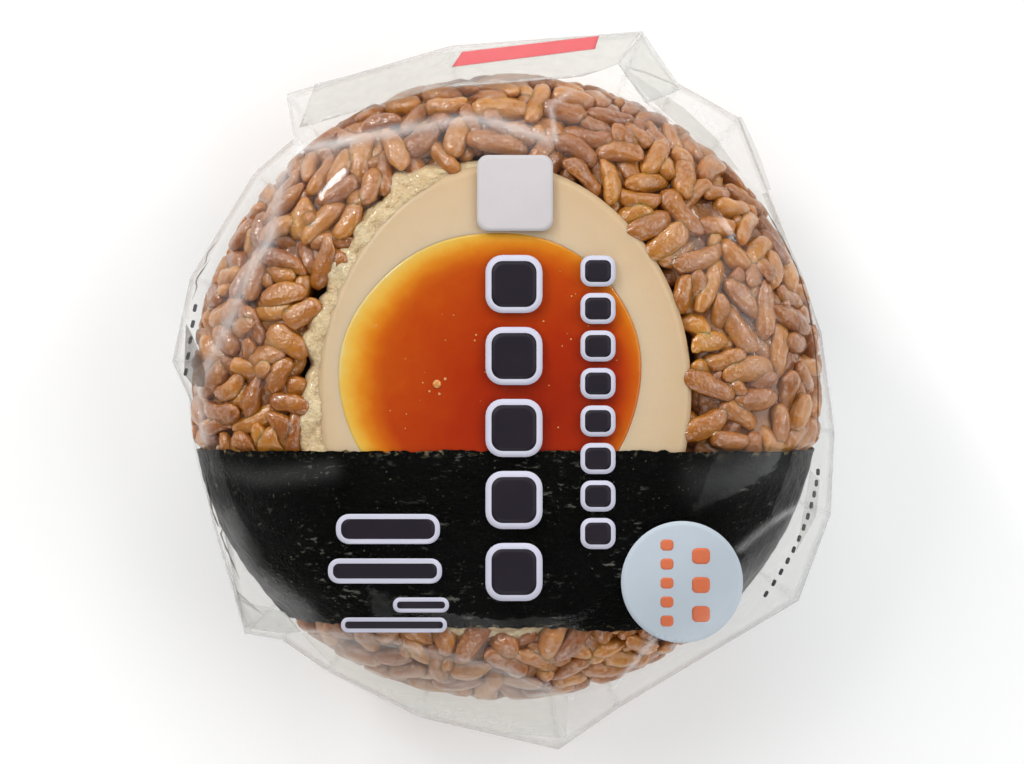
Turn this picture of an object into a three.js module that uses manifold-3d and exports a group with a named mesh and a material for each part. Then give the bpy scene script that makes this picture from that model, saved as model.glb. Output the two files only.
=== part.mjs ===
// Round rice ball seasoned with soy sauce, with half a soft-boiled egg on a bed of mayonnaise in its front,
// a band of dried seaweed across it, and a clear film wrap with folded ears round its edge.
// It lies on its back with the egg side up. Millimetres, +Z up, +Y towards the top of the egg.
// The origin is the middle of the base.
import * as THREE from "three";
import { mergeVertices } from "three/addons/utils/BufferGeometryUtils.js";
import Module from "manifold-3d";

const wasm = await Module();
wasm.setup();

// ---- driving dimensions ----
const TOTAL_HEIGHT = 40; // thickness of the whole pack
const FILM_T = 0.5; // wall of the wrap over the front and under the back
const NORI_T = 0.45; // seaweed sheet
const GAP = 0.3; // clearance between touching pieces
const STACK = FILM_T + GAP + NORI_T + GAP; // from the wrap's outer face to the rice
const RICE_R = 38.5; // rice at its widest
const RICE_X = 0.4; // middle of the rice, seen from the front
const RICE_Y = 0.3;
const RICE_TOP = TOTAL_HEIGHT - STACK;
const RICE_BOTTOM = STACK;
const RICE_WIDEST = 18.5; // height of the widest ring
const SHOULDER = 3.4; // power of the superellipse that rounds the edge
const GRAIN_LENGTH = 7.5; // cooked grain
const GRAIN_WIDTH = 3.3;
const GRAIN_RELIEF = 0.75; // depth of the valleys between grains

const EGG = { x: 0, y: -1.3, a: 23.7, b: 29.2, depth: 21 }; // cut face's half width and half length
const EGG_TAPER = 0.04; // the upper end is narrower
const EGG_SINK = 0.35; // cut face under the rice's front
const YOLK = { x: -1.45, y: 0.4, a: 18.7, b: 19.2, depth: 15.5 };
const MAYO = { x: -2.3, y: 0.6, a: 24.6, b: 29.9, depth: 23.5 };
const MAYO_SINK = 0.7;
const POCKET_PLAY = 0.9; // rice stands back from the egg

const NORI_LOW = -29.7; // lower edge of the band on the front
const NORI_HIGH = -7.7; // upper edge of the band on the front
const NORI_BACK_HIGH = 21; // upper edge of the sheet round the back
const NORI_LEFT_Z = 17.5; // height that the back sheet reaches on the left
const NORI_RIGHT_Z = 19.5; // and on the right

// Corners of the wrap's outline seen from the front: x, y, and the height of the fold there.
const EARS = [
  [18.0, 46.4, 12], [22.4, 39.4, 15], [30.4, 35.0, 13], [35.2, 22.0, 18], [40.6, 7.5, 18], [42.4, -5.3, 16],
  [41.9, -15.9, 14], [37.8, -26.9, 11], [14.7, -40.8, 14], [7.2, -46.7, 9], [-10.7, -42.3, 11], [-22.5, -36.2, 14],
  [-28.4, -32.1, 14], [-33.5, -31.5, 10], [-36.3, -15.9, 14], [-39.6, -2.1, 17], [-42.4, 3.7, 16], [-40.0, 14.4, 17],
  [-31.9, 27.9, 16], [-26.9, 32.4, 15], [-28.0, 38.3, 11], [-6.8, 44.4, 12],
];
const SHOULDER_R = 35.5; // the film leaves the rice here
const SHOULDER_Z = 34;
const BASE_R = 32; // flat foot of the wrap
const WALL_SPARE = 0.7; // the flat steps of the back stay clear of the rice
const FILM_LEAST = 1.0; // least distance of the outline from the rice
const VENT = { x: 20, y: 2.5, back: 13 }; // slot between the folded ends at the back

// ---- helpers ----
const AROUND = 48; // steps round the rice, the seaweed and the inside of the film
const RINGS = 16; // steps from the back to the front
const EGG_AROUND = 28;
const EGG_RINGS = 12;
const clamp01 = (t) => Math.min(1, Math.max(0, t));
const spow = (v, p) => Math.sign(v) * Math.abs(v) ** p;

// A closed three.js geometry as a solid.
function solid(geometry) {
  const g = geometry.clone();
  for (const name of Object.keys(g.attributes)) if (name !== "position") g.deleteAttribute(name);
  const merged = mergeVertices(g, 1e-4);
  const made = new wasm.Manifold(new wasm.Mesh({
    numProp: 3,
    vertProperties: Float32Array.from(merged.attributes.position.array),
    triVerts: Uint32Array.from(merged.index.array),
  }));
  if (made.volume() >= 0) return made;
  const t = Uint32Array.from(merged.index.array);
  for (let i = 0; i < t.length; i += 3) [t[i + 1], t[i + 2]] = [t[i + 2], t[i + 1]];
  return new wasm.Manifold(new wasm.Mesh({
    numProp: 3,
    vertProperties: Float32Array.from(merged.attributes.position.array),
    triVerts: t,
  }));
}

function meshOf(name, body, colour, roughness) {
  const m = body.getMesh(), n = m.numProp;
  const v = new Float32Array(m.numVert * 3);
  for (let i = 0; i < m.numVert; i++) v.set(m.vertProperties.subarray(i * n, i * n + 3), i * 3);
  const g = new THREE.BufferGeometry();
  g.setAttribute("position", new THREE.BufferAttribute(v, 3));
  g.setIndex(new THREE.BufferAttribute(new Uint32Array(m.triVerts), 1));
  g.computeVertexNormals();
  const mesh = new THREE.Mesh(g, new THREE.MeshStandardMaterial({ color: colour, roughness, metalness: 0 }));
  mesh.name = name;
  return mesh;
}

// The rice ball's rounded puck, grown by `grow`: radius and height at t, from -90 degrees at the base to 90 at the front.
function puck(t, grow) {
  const high = (t > 0 ? RICE_TOP - RICE_WIDEST : RICE_WIDEST - RICE_BOTTOM) + grow;
  return [
    (RICE_R + grow) * Math.abs(Math.cos(t)) ** (2 / SHOULDER),
    RICE_WIDEST + high * spow(Math.sin(t), 2 / SHOULDER),
  ];
}

// Not quite round: the same slow waviness for every piece that follows the rice.
const wavy = (a) => 1 + 0.006 * Math.cos(2 * a - 0.7) + 0.004 * Math.cos(3 * a + 1.1);

// A lathe of the puck. move(p, angle, t) shifts each vertex.
function puckGeometry(grow, around, rings, move) {
  const profile = [];
  for (let j = 0; j <= rings; j++) {
    const t = -Math.PI / 2 + (Math.PI * j) / rings;
    const [r, z] = puck(t, grow);
    profile.push(new THREE.Vector2(j === 0 || j === rings ? 0 : r, z));
  }
  const g = new THREE.LatheGeometry(profile, around);
  g.rotateX(Math.PI / 2);
  const p = g.attributes.position, v = new THREE.Vector3();
  for (let i = 0; i < p.count; i++) {
    v.fromBufferAttribute(p, i);
    // three.js turns +Y up into +Z, so the lathe's own Y is the height
    const a = Math.atan2(v.y, v.x), r = Math.hypot(v.x, v.y), k = r < 1e-6 ? 1 : wavy(a);
    v.x *= k;
    v.y *= k;
    if (move && r > 1e-6) move(v, a, r);
    p.setXYZ(i, v.x + RICE_X, v.y + RICE_Y, v.z);
  }
  return g;
}

// Half an egg: an ellipsoid with one end a little narrower, its middle at the cut face.
function eggGeometry({ x, y, a, b, depth }, grow, taper, around, rings) {
  const g = new THREE.SphereGeometry(1, around, rings);
  g.rotateX(Math.PI / 2);
  const p = g.attributes.position;
  for (let i = 0; i < p.count; i++) {
    const u = p.getX(i), w = p.getY(i), h = p.getZ(i);
    p.setXYZ(i,
      x + u * (a + grow) * (1 - taper * w),
      y + w * (b + grow),
      RICE_TOP - 1 + h * (depth + grow));
  }
  return g;
}

// ---- rice ----
// Valleys between grains that lie at slowly turning angles.
function relief(v) {
  const turn = 1.1 * Math.sin(0.11 * v.x + 0.07 * v.z) + 1.3 * Math.cos(0.09 * v.y - 0.05 * v.z);
  const along = v.x * Math.cos(turn) + v.y * Math.sin(turn) + 0.6 * v.z;
  const across = -v.x * Math.sin(turn) + v.y * Math.cos(turn) + 0.9 * v.z;
  const s = Math.sin((2 * Math.PI * along) / GRAIN_LENGTH) * Math.sin((2 * Math.PI * across) / (2 * GRAIN_WIDTH));
  return GRAIN_RELIEF * (0.5 - 0.5 * s);
}
const riceGeometry = puckGeometry(0, AROUND, RINGS, (v) => {
  const d = relief(v);
  const out = new THREE.Vector3(v.x, v.y, (v.z - RICE_WIDEST) * 1.6).normalize();
  v.addScaledVector(out, -d);
});
const egg = solid(eggGeometry(EGG, 0, EGG_TAPER, EGG_AROUND, EGG_RINGS));
const eggGrown = solid(eggGeometry(EGG, GAP, EGG_TAPER, EGG_AROUND, EGG_RINGS));
const mayoFull = solid(eggGeometry(MAYO, 0, 0.02, EGG_AROUND, EGG_RINGS));
const pocket = solid(eggGeometry(EGG, POCKET_PLAY, EGG_TAPER, EGG_AROUND, EGG_RINGS)).add(solid(eggGeometry(MAYO, GAP + 0.1, 0.02, EGG_AROUND, EGG_RINGS)));
const rice = solid(riceGeometry).subtract(pocket);

// ---- egg and mayonnaise, their tops following the rice's front ----
const underFront = (sink) => solid(puckGeometry(-sink, 36, RINGS));
const yolkFull = solid(eggGeometry(YOLK, 0, 0, EGG_AROUND, EGG_RINGS));
const yolkGrown = solid(eggGeometry(YOLK, GAP, 0, EGG_AROUND, EGG_RINGS));
const white = egg.intersect(underFront(EGG_SINK)).subtract(yolkGrown);
const yolk = yolkFull.intersect(underFront(EGG_SINK - 0.15));
const mayo = mayoFull.intersect(underFront(MAYO_SINK)).subtract(eggGrown);

// ---- seaweed: a sheet round the back that comes over the front as a band ----
const sheet = solid(puckGeometry(GAP + NORI_T, AROUND, RINGS)).subtract(solid(puckGeometry(GAP, AROUND, RINGS)));
const bandBox = new THREE.BoxGeometry(120, NORI_HIGH - NORI_LOW, 120);
bandBox.translate(0, (NORI_HIGH + NORI_LOW) / 2, 0);
const backShape = new THREE.Shape([
  new THREE.Vector2(-60, -20), new THREE.Vector2(60, -20),
  new THREE.Vector2(60, NORI_RIGHT_Z), new THREE.Vector2(-60, NORI_LEFT_Z),
]);
const backCut = new THREE.ExtrudeGeometry(backShape, { depth: NORI_BACK_HIGH - NORI_LOW - 1, bevelEnabled: false });
backCut.rotateX(Math.PI / 2);
backCut.translate(0, NORI_BACK_HIGH, 0);
const nori = sheet.intersect(solid(bandBox).add(solid(backCut)));

// ---- film wrap ----
// The outline's corners, round the rice's middle, in order of angle.
const corners = EARS.map(([x, y, z]) => ({ a: Math.atan2(y - RICE_Y, x - RICE_X), x: x - RICE_X, y: y - RICE_Y, z }))
  .sort((p, q) => p.a - q.a);
const STEP = (2 * Math.PI) / 60;
const stations = [];
corners.forEach((c, i) => {
  const d = corners[(i + 1) % corners.length];
  const sweep = (d.a - c.a + 2 * Math.PI) % (2 * Math.PI), n = Math.max(1, Math.round(sweep / STEP));
  for (let k = 0; k < n; k++) {
    const f = k / n, x = c.x + (d.x - c.x) * f, y = c.y + (d.y - c.y) * f;
    const a = Math.atan2(y, x);
    const least = (RICE_R + GAP + NORI_T + GAP) * wavy(a) + FILM_LEAST;
    stations.push({ a, r: Math.max(Math.hypot(x, y), least), z: c.z + (d.z - c.z) * f });
  }
});
const ABOVE = 7, BELOW = 3; // rings over and under the outline
const around = stations.length;
const unit = [];
for (let j = 0; j <= ABOVE + BELOW + 1; j++) unit.push(new THREE.Vector2(j === 0 || j === ABOVE + BELOW + 1 ? 0 : 1, -j));
const filmGeometry = new THREE.LatheGeometry(unit, around);
{
  const p = filmGeometry.attributes.position, rings = ABOVE + BELOW + 2;
  const grown = GAP + NORI_T + GAP + FILM_T;
  for (let i = 0; i < p.count; i++) {
    const s = stations[Math.floor(i / rings) % around], j = i % rings;
    let r, z;
    if (j === 0) [r, z] = [0, TOTAL_HEIGHT];
    else if (j === rings - 1) [r, z] = [0, 0];
    else if (j <= ABOVE) {
      // from the front down to the outline
      const rise = clamp01((s.z - RICE_WIDEST) / (TOTAL_HEIGHT - RICE_WIDEST));
      const least = s.z >= RICE_WIDEST ? Math.asin(rise ** (SHOULDER / 2)) : 0;
      const t = Math.PI / 2 + (least - Math.PI / 2) * (j / ABOVE);
      [r, z] = puck(t, grown);
      r *= wavy(s.a);
      z = j === ABOVE ? s.z : Math.max(z, s.z);
      const f = clamp01((SHOULDER_Z - z) / (SHOULDER_Z - s.z));
      if (z <= SHOULDER_Z) r = Math.max(r, SHOULDER_R + (s.r - SHOULDER_R) * f);
      if (j === ABOVE) r = s.r;
    } else {
      // from the outline down to the foot
      const f = (j - ABOVE) / BELOW;
      z = s.z * (1 - f);
      const base = BASE_R * wavy(s.a);
      r = base + (s.r - base) * (1 - f);
      const low = clamp01((RICE_WIDEST - z) / (RICE_WIDEST - 0));
      const wall = (RICE_R + grown + WALL_SPARE) * (1 - low ** SHOULDER) ** (1 / SHOULDER) * wavy(s.a);
      r = Math.max(r, z < 0.01 ? base : wall);
    }
    p.setXYZ(i, RICE_X + r * Math.cos(s.a), RICE_Y + r * Math.sin(s.a), z);
  }
}
const ventBox = new THREE.BoxGeometry(VENT.x, VENT.y, 6);
ventBox.translate(0, VENT.back, 0);
const film = solid(filmGeometry)
  .subtract(solid(puckGeometry(GAP + NORI_T + GAP, AROUND, RINGS)))
  .subtract(solid(ventBox));

// ---- the whole ----
const pack = new THREE.Group();
pack.add(
  meshOf("rice_ball", rice, 0xb98554, 0.45),
  meshOf("mayonnaise", mayo, 0xe6d2a6, 0.4),
  meshOf("egg_white", white, 0xe0caa6, 0.35),
  meshOf("egg_yolk", yolk, 0xc4560a, 0.2),
  meshOf("nori_sheet", nori, 0x14170f, 0.6),
  meshOf("film_wrap", film, 0xe8e9e6, 0.15),
);
const box = new THREE.Box3().setFromObject(pack);
pack.position.set(-(box.min.x + box.max.x) / 2, -(box.min.y + box.max.y) / 2, -box.min.z);

const part = new THREE.Group();
part.add(pack);
export default part;
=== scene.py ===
# Looks of a round rice ball in clear film: seasoned rice grains, half a soft-boiled egg, mayonnaise,
# a dried seaweed band, and the crisp film with its folds and plain printed fields.
# Lengths in the helpers are millimetres; meshes are written in metres, in the frame's own axes.
import math

import bpy
import numpy as np
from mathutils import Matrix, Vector
from mathutils.geometry import delaunay_2d_cdt


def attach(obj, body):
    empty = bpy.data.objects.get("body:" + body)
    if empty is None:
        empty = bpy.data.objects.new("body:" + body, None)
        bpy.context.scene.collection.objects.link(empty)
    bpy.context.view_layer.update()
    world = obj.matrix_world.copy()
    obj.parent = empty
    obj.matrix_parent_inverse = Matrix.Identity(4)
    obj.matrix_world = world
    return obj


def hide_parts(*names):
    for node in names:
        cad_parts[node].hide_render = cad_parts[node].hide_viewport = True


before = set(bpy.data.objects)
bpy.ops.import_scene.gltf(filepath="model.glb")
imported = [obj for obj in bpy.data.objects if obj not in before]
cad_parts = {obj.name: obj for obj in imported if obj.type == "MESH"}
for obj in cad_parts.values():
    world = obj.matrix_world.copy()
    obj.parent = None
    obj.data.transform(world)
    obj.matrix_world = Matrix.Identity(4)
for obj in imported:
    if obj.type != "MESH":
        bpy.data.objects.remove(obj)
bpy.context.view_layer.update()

MM = 0.001
RNG = np.random.default_rng(20614)

# ------------------------------------------------------------------ driving sizes, mm
TOTAL_H = 40.0
CX, CY = 0.4, 0.45  # middle of the rice
RICE_R, WIDEST, SHOULDER = 38.5, 18.5, 3.4
RICE_TOP, RICE_BOTTOM = 38.45, 1.55
FILM_G = 1.45  # how far each skin stands out from the rice solid
NORI_G = 1.12
RICE_G = 1.22
EGG_G = 0.95
EGG_C, EGG_A, EGG_B, EGG_D = (0.24, -0.75), 22.65, 28.5, 21.0
YOLK_C, YOLK_A, YOLK_B = (-1.42, 1.9), 18.2, 17.6
NORI_LOW, NORI_HIGH = -28.9, -7.2
CAM = (1.16, 1.21, 387.0)
LENS = 101.2
EARS = [
    (18.0, 46.55, 15), (22.4, 39.55, 18), (30.4, 35.15, 17), (35.2, 22.15, 20), (40.6, 7.65, 20), (42.4, -5.15, 19),
    (41.9, -15.75, 19), (37.8, -26.75, 19), (14.7, -40.65, 18), (7.2, -46.55, 13), (-10.7, -42.15, 15),
    (-22.5, -36.05, 17), (-28.4, -31.95, 17), (-33.5, -31.35, 14), (-36.3, -15.75, 17), (-39.6, -1.95, 19),
    (-42.4, 3.85, 18), (-40.0, 14.55, 19), (-31.9, 28.05, 18), (-26.9, 32.55, 17), (-28.0, 38.45, 15), (-6.8, 44.55, 16),
]


# ------------------------------------------------------------------ helpers
def px(u, v, z):
    """The point at height z that a pixel of the photograph's frame looks at."""
    s = (CAM[2] - z) * 36 / LENS / 1024
    return np.array([CAM[0] + (u - 512) * s, CAM[1] - (v - 382) * s])


def vnoise(p, freq, seed):
    """Smooth value noise from -1 to 1 at the points p (n, 3)."""
    q = np.asarray(p, float) * freq + seed * 7.13
    i = np.floor(q).astype(np.int64)
    f = q - i
    f = f * f * f * (f * (f * 6 - 15) + 10)
    total = np.zeros(len(q))
    for dx in (0, 1):
        for dy in (0, 1):
            for dz in (0, 1):
                h = ((i[:, 0] + dx) * 73856093) ^ ((i[:, 1] + dy) * 19349663) ^ ((i[:, 2] + dz) * 83492791) ^ (seed * 2654435)
                h = (h ^ (h >> 13)) * 1274126177
                h = (h ^ (h >> 16)) & 0xFFFFFF
                w = (f[:, 0] if dx else 1 - f[:, 0]) * (f[:, 1] if dy else 1 - f[:, 1]) * (f[:, 2] if dz else 1 - f[:, 2])
                total += w * (h / 0xFFFFFF * 2 - 1)
    return total


def fbm(p, freq, seed, octaves=3):
    return sum(vnoise(p, freq * 2 ** k, seed + 31 * k) * 0.5 ** k for k in range(octaves))


def wavy(a):
    return 1 + 0.006 * np.cos(2 * a - 0.7) + 0.004 * np.cos(3 * a + 1.1)


def puck_f(p, g):
    """1 on the rounded puck grown by g, less inside."""
    x, y, z = p[..., 0] - CX, p[..., 1] - CY, p[..., 2] - WIDEST
    r = np.hypot(x, y) / wavy(np.arctan2(y, x)) / (RICE_R + g)
    h = np.where(z > 0, RICE_TOP - WIDEST + g, WIDEST - RICE_BOTTOM + g)
    return (r ** SHOULDER + (np.abs(z) / h) ** SHOULDER) ** (1 / SHOULDER)


def front_z(x, y, g):
    """Height of the grown puck's front over (x, y)."""
    a = np.arctan2(y - CY, x - CX)
    u = np.clip(np.hypot(x - CX, y - CY) / wavy(a) / (RICE_R + g), 0, 0.9999)
    return WIDEST + (RICE_TOP - WIDEST + g) * (1 - u ** SHOULDER) ** (1 / SHOULDER)


def clamp_in(p, g):
    """Points outside the grown puck are pressed back onto it."""
    f = puck_f(p, g)
    c = np.array([CX, CY, WIDEST])
    out = p.copy()
    m = f > 1
    out[m] = c + (p[m] - c) / f[m][:, None]
    return out


def nori_skin(phi, y, g):
    """The point of the grown puck at this y, in the direction phi about +Y."""
    lo, hi = np.zeros(len(phi)), np.full(len(phi), 60.0)
    for _ in range(36):
        mid = (lo + hi) / 2
        out = puck_f(np.stack([CX + mid * np.cos(phi), y, WIDEST + mid * np.sin(phi)], -1), g) > 1
        hi = np.where(out, mid, hi)
        lo = np.where(out, lo, mid)
    return np.stack([CX + lo * np.cos(phi), y, WIDEST + lo * np.sin(phi)], -1)


def nori_top(phi):
    """How far up the seaweed reaches in the direction phi: it widens round the back."""
    t = np.linspace(-math.pi, math.pi, 721)
    probe = nori_skin(t, np.full(721, -8.0), 0)
    z = probe[:, 2]
    back = 1 - np.clip((z - np.where(probe[:, 0] < CX, 13.5, 15.0)) / 5.0, 0, 1)
    back = back * back * (3 - 2 * back)
    return np.interp((phi + math.pi) % (2 * math.pi) - math.pi, t, NORI_HIGH + (21.15 - NORI_HIGH) * back)


def piece(name, verts, faces, material, attributes=None, smooth=True):
    mesh = bpy.data.meshes.new(name)
    mesh.from_pydata((np.asarray(verts) * MM).tolist(), [], [list(map(int, f)) for f in faces])
    mesh.validate()
    mesh.update()
    for key, values in (attributes or {}).items():
        a = mesh.attributes.new(key, "FLOAT", "POINT")
        a.data.foreach_set("value", np.asarray(values, np.float32))
    if smooth:
        mesh.polygons.foreach_set("use_smooth", np.ones(len(mesh.polygons), bool))
    mesh.materials.append(material)
    o = bpy.data.objects.new(name, mesh)
    bpy.context.scene.collection.objects.link(o)
    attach(o, "root")
    return o


def ring_faces(rows, around, closed_start=None, closed_end=None, offset=0):
    """Quads between rows of `around` points; the optional ends are single points that close them."""
    j, i = np.meshgrid(np.arange(rows - 1), np.arange(around), indexing="ij")
    a = offset + j * around + i
    b = offset + j * around + (i + 1) % around
    quads = np.stack([a, b, b + around, a + around], -1).reshape(-1, 4).tolist()
    i = np.arange(around)
    if closed_start is not None:
        quads += np.stack([np.full(around, closed_start), offset + (i + 1) % around, offset + i], -1).tolist()
    if closed_end is not None:
        last = offset + (rows - 1) * around
        quads += np.stack([np.full(around, closed_end), last + i, last + (i + 1) % around], -1).tolist()
    return quads


# ------------------------------------------------------------------ node helpers
def new_material(name):
    m = bpy.data.materials.new(name)
    m.use_nodes = True
    nt = m.node_tree
    return m, nt, nt.nodes["Principled BSDF"], nt.nodes["Material Output"]


def node(nt, kind, **values):
    n = nt.nodes.new(kind)
    for k, v in values.items():
        if hasattr(n, k) and k not in n.inputs:
            setattr(n, k, v)
        else:
            n.inputs[k.replace("_", " ") if k.replace("_", " ") in n.inputs else k].default_value = v
    return n


def coords(nt):
    return node(nt, "ShaderNodeTexCoord").outputs["Object"]


def noise(nt, scale, detail=3.0, rough=0.55, distortion=0.0):
    n = node(nt, "ShaderNodeTexNoise")
    n.inputs["Scale"].default_value = scale
    n.inputs["Detail"].default_value = detail
    n.inputs["Roughness"].default_value = rough
    n.inputs["Distortion"].default_value = distortion
    nt.links.new(coords(nt), n.inputs["Vector"])
    return n.outputs["Fac"]


def grain_noise(nt, scale, stretch, detail=3.0, rough=0.55):
    """Noise drawn out along some axes: stretch is a factor for each axis."""
    n = node(nt, "ShaderNodeTexNoise")
    n.inputs["Scale"].default_value = scale
    n.inputs["Detail"].default_value = detail
    n.inputs["Roughness"].default_value = rough
    v = node(nt, "ShaderNodeMapping")
    v.inputs["Scale"].default_value = stretch
    nt.links.new(coords(nt), v.inputs["Vector"])
    nt.links.new(v.outputs["Vector"], n.inputs["Vector"])
    return n.outputs["Fac"]


def attribute(nt, name):
    n = node(nt, "ShaderNodeAttribute")
    n.attribute_name = name
    return n.outputs["Fac"]


def maths(nt, op, a, b=None, clamp=False):
    n = node(nt, "ShaderNodeMath")
    n.operation = op
    n.use_clamp = clamp
    for k, v in enumerate((a, b)):
        if v is None:
            continue
        if isinstance(v, (int, float)):
            n.inputs[k].default_value = v
        else:
            nt.links.new(v, n.inputs[k])
    return n.outputs[0]


def ramp(nt, fac, stops):
    n = node(nt, "ShaderNodeValToRGB")
    e = n.color_ramp.elements
    while len(e) < len(stops):
        e.new(0.5)
    for k, (pos, col) in enumerate(stops):
        e[k].position = pos
        e[k].color = (*col, 1)
    nt.links.new(fac, n.inputs["Fac"])
    return n.outputs["Color"]


def mix(nt, fac, a, b, blend="MIX"):
    n = node(nt, "ShaderNodeMix")
    n.data_type = "RGBA"
    n.blend_type = blend
    for k, v in (("Factor", fac), ("A", a), ("B", b)):
        s = next(x for x in n.inputs if x.name == k and x.type == ("VALUE" if k == "Factor" else "RGBA"))
        if isinstance(v, (int, float)):
            s.default_value = v
        elif isinstance(v, tuple):
            s.default_value = (*v, 1)
        else:
            nt.links.new(v, s)
    return next(x for x in n.outputs if x.type == "RGBA")


def bump(nt, height, strength, distance):
    n = node(nt, "ShaderNodeBump")
    n.inputs["Strength"].default_value = strength
    n.inputs["Distance"].default_value = distance
    nt.links.new(height, n.inputs["Height"])
    return n.outputs["Normal"]


def srgb(r, g, b):
    return tuple((c / 255 / 12.92) if c <= 10 else ((c / 255 + 0.055) / 1.055) ** 2.4 for c in (r, g, b))


def subsurface(p, weight, radius, scale):
    p.inputs["Subsurface Weight"].default_value = weight
    p.inputs["Subsurface Radius"].default_value = radius
    p.inputs["Subsurface Scale"].default_value = scale


# ------------------------------------------------------------------ materials
def rice_material():
    m, nt, p, _ = new_material("cooked_rice")
    tint = attribute(nt, "tint")
    depth = attribute(nt, "depth")
    n1 = noise(nt, 260, 3)
    n2 = noise(nt, 1400, 2)
    f = maths(nt, "ADD", maths(nt, "MULTIPLY", tint, 0.34), maths(nt, "MULTIPLY", n1, 0.75))
    f = maths(nt, "ADD", f, maths(nt, "MULTIPLY", n2, 0.12))
    col = ramp(nt, f, [
        (0.02, srgb(118, 60, 10)), (0.26, srgb(148, 83, 16)), (0.48, srgb(170, 104, 25)), (0.72, srgb(192, 128, 40)), (1.0, srgb(214, 161, 76)),
    ])
    # painted shade: grains lying deeper under the skin are darkened towards deep brown, standing in for the shade in
    # the gaps between grains
    dark = mix(nt, depth, col, srgb(104, 44, 10))
    nt.links.new(dark, p.inputs["Base Color"])
    p.inputs["Roughness"].default_value = 0.34
    p.inputs["Specular IOR Level"].default_value = 0.45
    p.inputs["Coat IOR"].default_value = 1.7
    p.inputs["Coat Roughness"].default_value = 0.12
    subsurface(p, 0.7, (1.0, 0.7, 0.42), 0.0016)
    h = maths(nt, "ADD", maths(nt, "MULTIPLY", noise(nt, 600, 2, 0.6), 1.0), maths(nt, "MULTIPLY", noise(nt, 2400, 1, 0.5), 0.3))
    nt.links.new(bump(nt, h, 0.4, 0.0005), p.inputs["Normal"])
    # wet gloss in broken flecks
    wet = noise(nt, 1250, 2, 0.5)
    nt.links.new(bump(nt, wet, 0.9, 0.0004), p.inputs["Coat Normal"])
    nt.links.new(maths(nt, "MULTIPLY", maths(nt, "SUBTRACT", wet, 0.25, True), 3.5, True), p.inputs["Coat Weight"])
    return m


def core_material():
    m, nt, p, _ = new_material("rice_core")
    n1 = noise(nt, 300, 4)
    col = ramp(nt, n1, [(0.3, srgb(104, 56, 18)), (0.5, srgb(138, 84, 34)), (0.75, srgb(166, 112, 56))])
    nt.links.new(col, p.inputs["Base Color"])
    p.inputs["Roughness"].default_value = 0.35
    p.inputs["Coat Weight"].default_value = 0.5
    p.inputs["Coat Roughness"].default_value = 0.12
    nt.links.new(bump(nt, noise(nt, 420, 4), 0.7, 0.0012), p.inputs["Normal"])
    return m


def white_material():
    m, nt, p, _ = new_material("egg_white_stained")
    edge = attribute(nt, "edge")
    n1 = noise(nt, 60, 3, 0.5)
    n2 = noise(nt, 420, 3)
    base = mix(nt, edge, srgb(217, 191, 159), srgb(208, 177, 138))
    base = mix(nt, maths(nt, "MULTIPLY", maths(nt, "SUBTRACT", n1, 0.4, True), 0.9, True), base, srgb(219, 196, 164))
    base = mix(nt, maths(nt, "MULTIPLY", maths(nt, "SUBTRACT", n2, 0.55, True), 0.7, True), base, srgb(200, 168, 120))
    nt.links.new(base, p.inputs["Base Color"])
    p.inputs["Roughness"].default_value = 0.38
    p.inputs["Specular IOR Level"].default_value = 0.4
    subsurface(p, 0.35, (1.0, 0.72, 0.45), 0.004)
    h = maths(nt, "ADD", noise(nt, 260, 4, 0.5), maths(nt, "MULTIPLY", noise(nt, 1500, 2), 0.25))
    nt.links.new(bump(nt, h, 0.12, 0.0005), p.inputs["Normal"])
    return m


def yolk_material():
    m, nt, p, _ = new_material("yolk_half_set")
    warm = attribute(nt, "warm")
    n1 = noise(nt, 75, 4, 0.55, 0.6)
    n2 = noise(nt, 700, 3, 0.6)
    f = maths(nt, "ADD", warm, maths(nt, "MULTIPLY", maths(nt, "SUBTRACT", n1, 0.5), 0.24))
    f = maths(nt, "ADD", f, maths(nt, "MULTIPLY", maths(nt, "SUBTRACT", n2, 0.5), 0.09))
    col = ramp(nt, f, [
        (0.0, srgb(228, 200, 132)), (0.05, srgb(231, 190, 92)), (0.15, srgb(230, 172, 62)), (0.28, srgb(220, 134, 28)), (0.42, srgb(204, 98, 12)),
        (0.6, srgb(188, 68, 5)), (0.78, srgb(170, 44, 3)), (1.0, srgb(150, 32, 3)),
    ])
    nt.links.new(col, p.inputs["Base Color"])
    p.inputs["Roughness"].default_value = 0.22
    p.inputs["Specular IOR Level"].default_value = 0.3
    p.inputs["Coat Weight"].default_value = 0.25
    p.inputs["Coat Roughness"].default_value = 0.06
    subsurface(p, 0.15, (1.0, 0.35, 0.08), 0.002)
    h = maths(nt, "ADD", noise(nt, 140, 3), maths(nt, "MULTIPLY", noise(nt, 1800, 2), 0.2))
    nt.links.new(bump(nt, h, 0.15, 0.0004), p.inputs["Normal"])
    return m


def bubble_material():
    m, nt, p, _ = new_material("yolk_bubbles")
    col = mix(nt, noise(nt, 900, 2), srgb(214, 110, 40), srgb(240, 176, 96))
    nt.links.new(col, p.inputs["Base Color"])
    p.inputs["Roughness"].default_value = 0.12
    p.inputs["Coat Weight"].default_value = 0.6
    p.inputs["Coat Roughness"].default_value = 0.05
    subsurface(p, 0.2, (1.0, 0.5, 0.2), 0.001)
    return m


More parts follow.
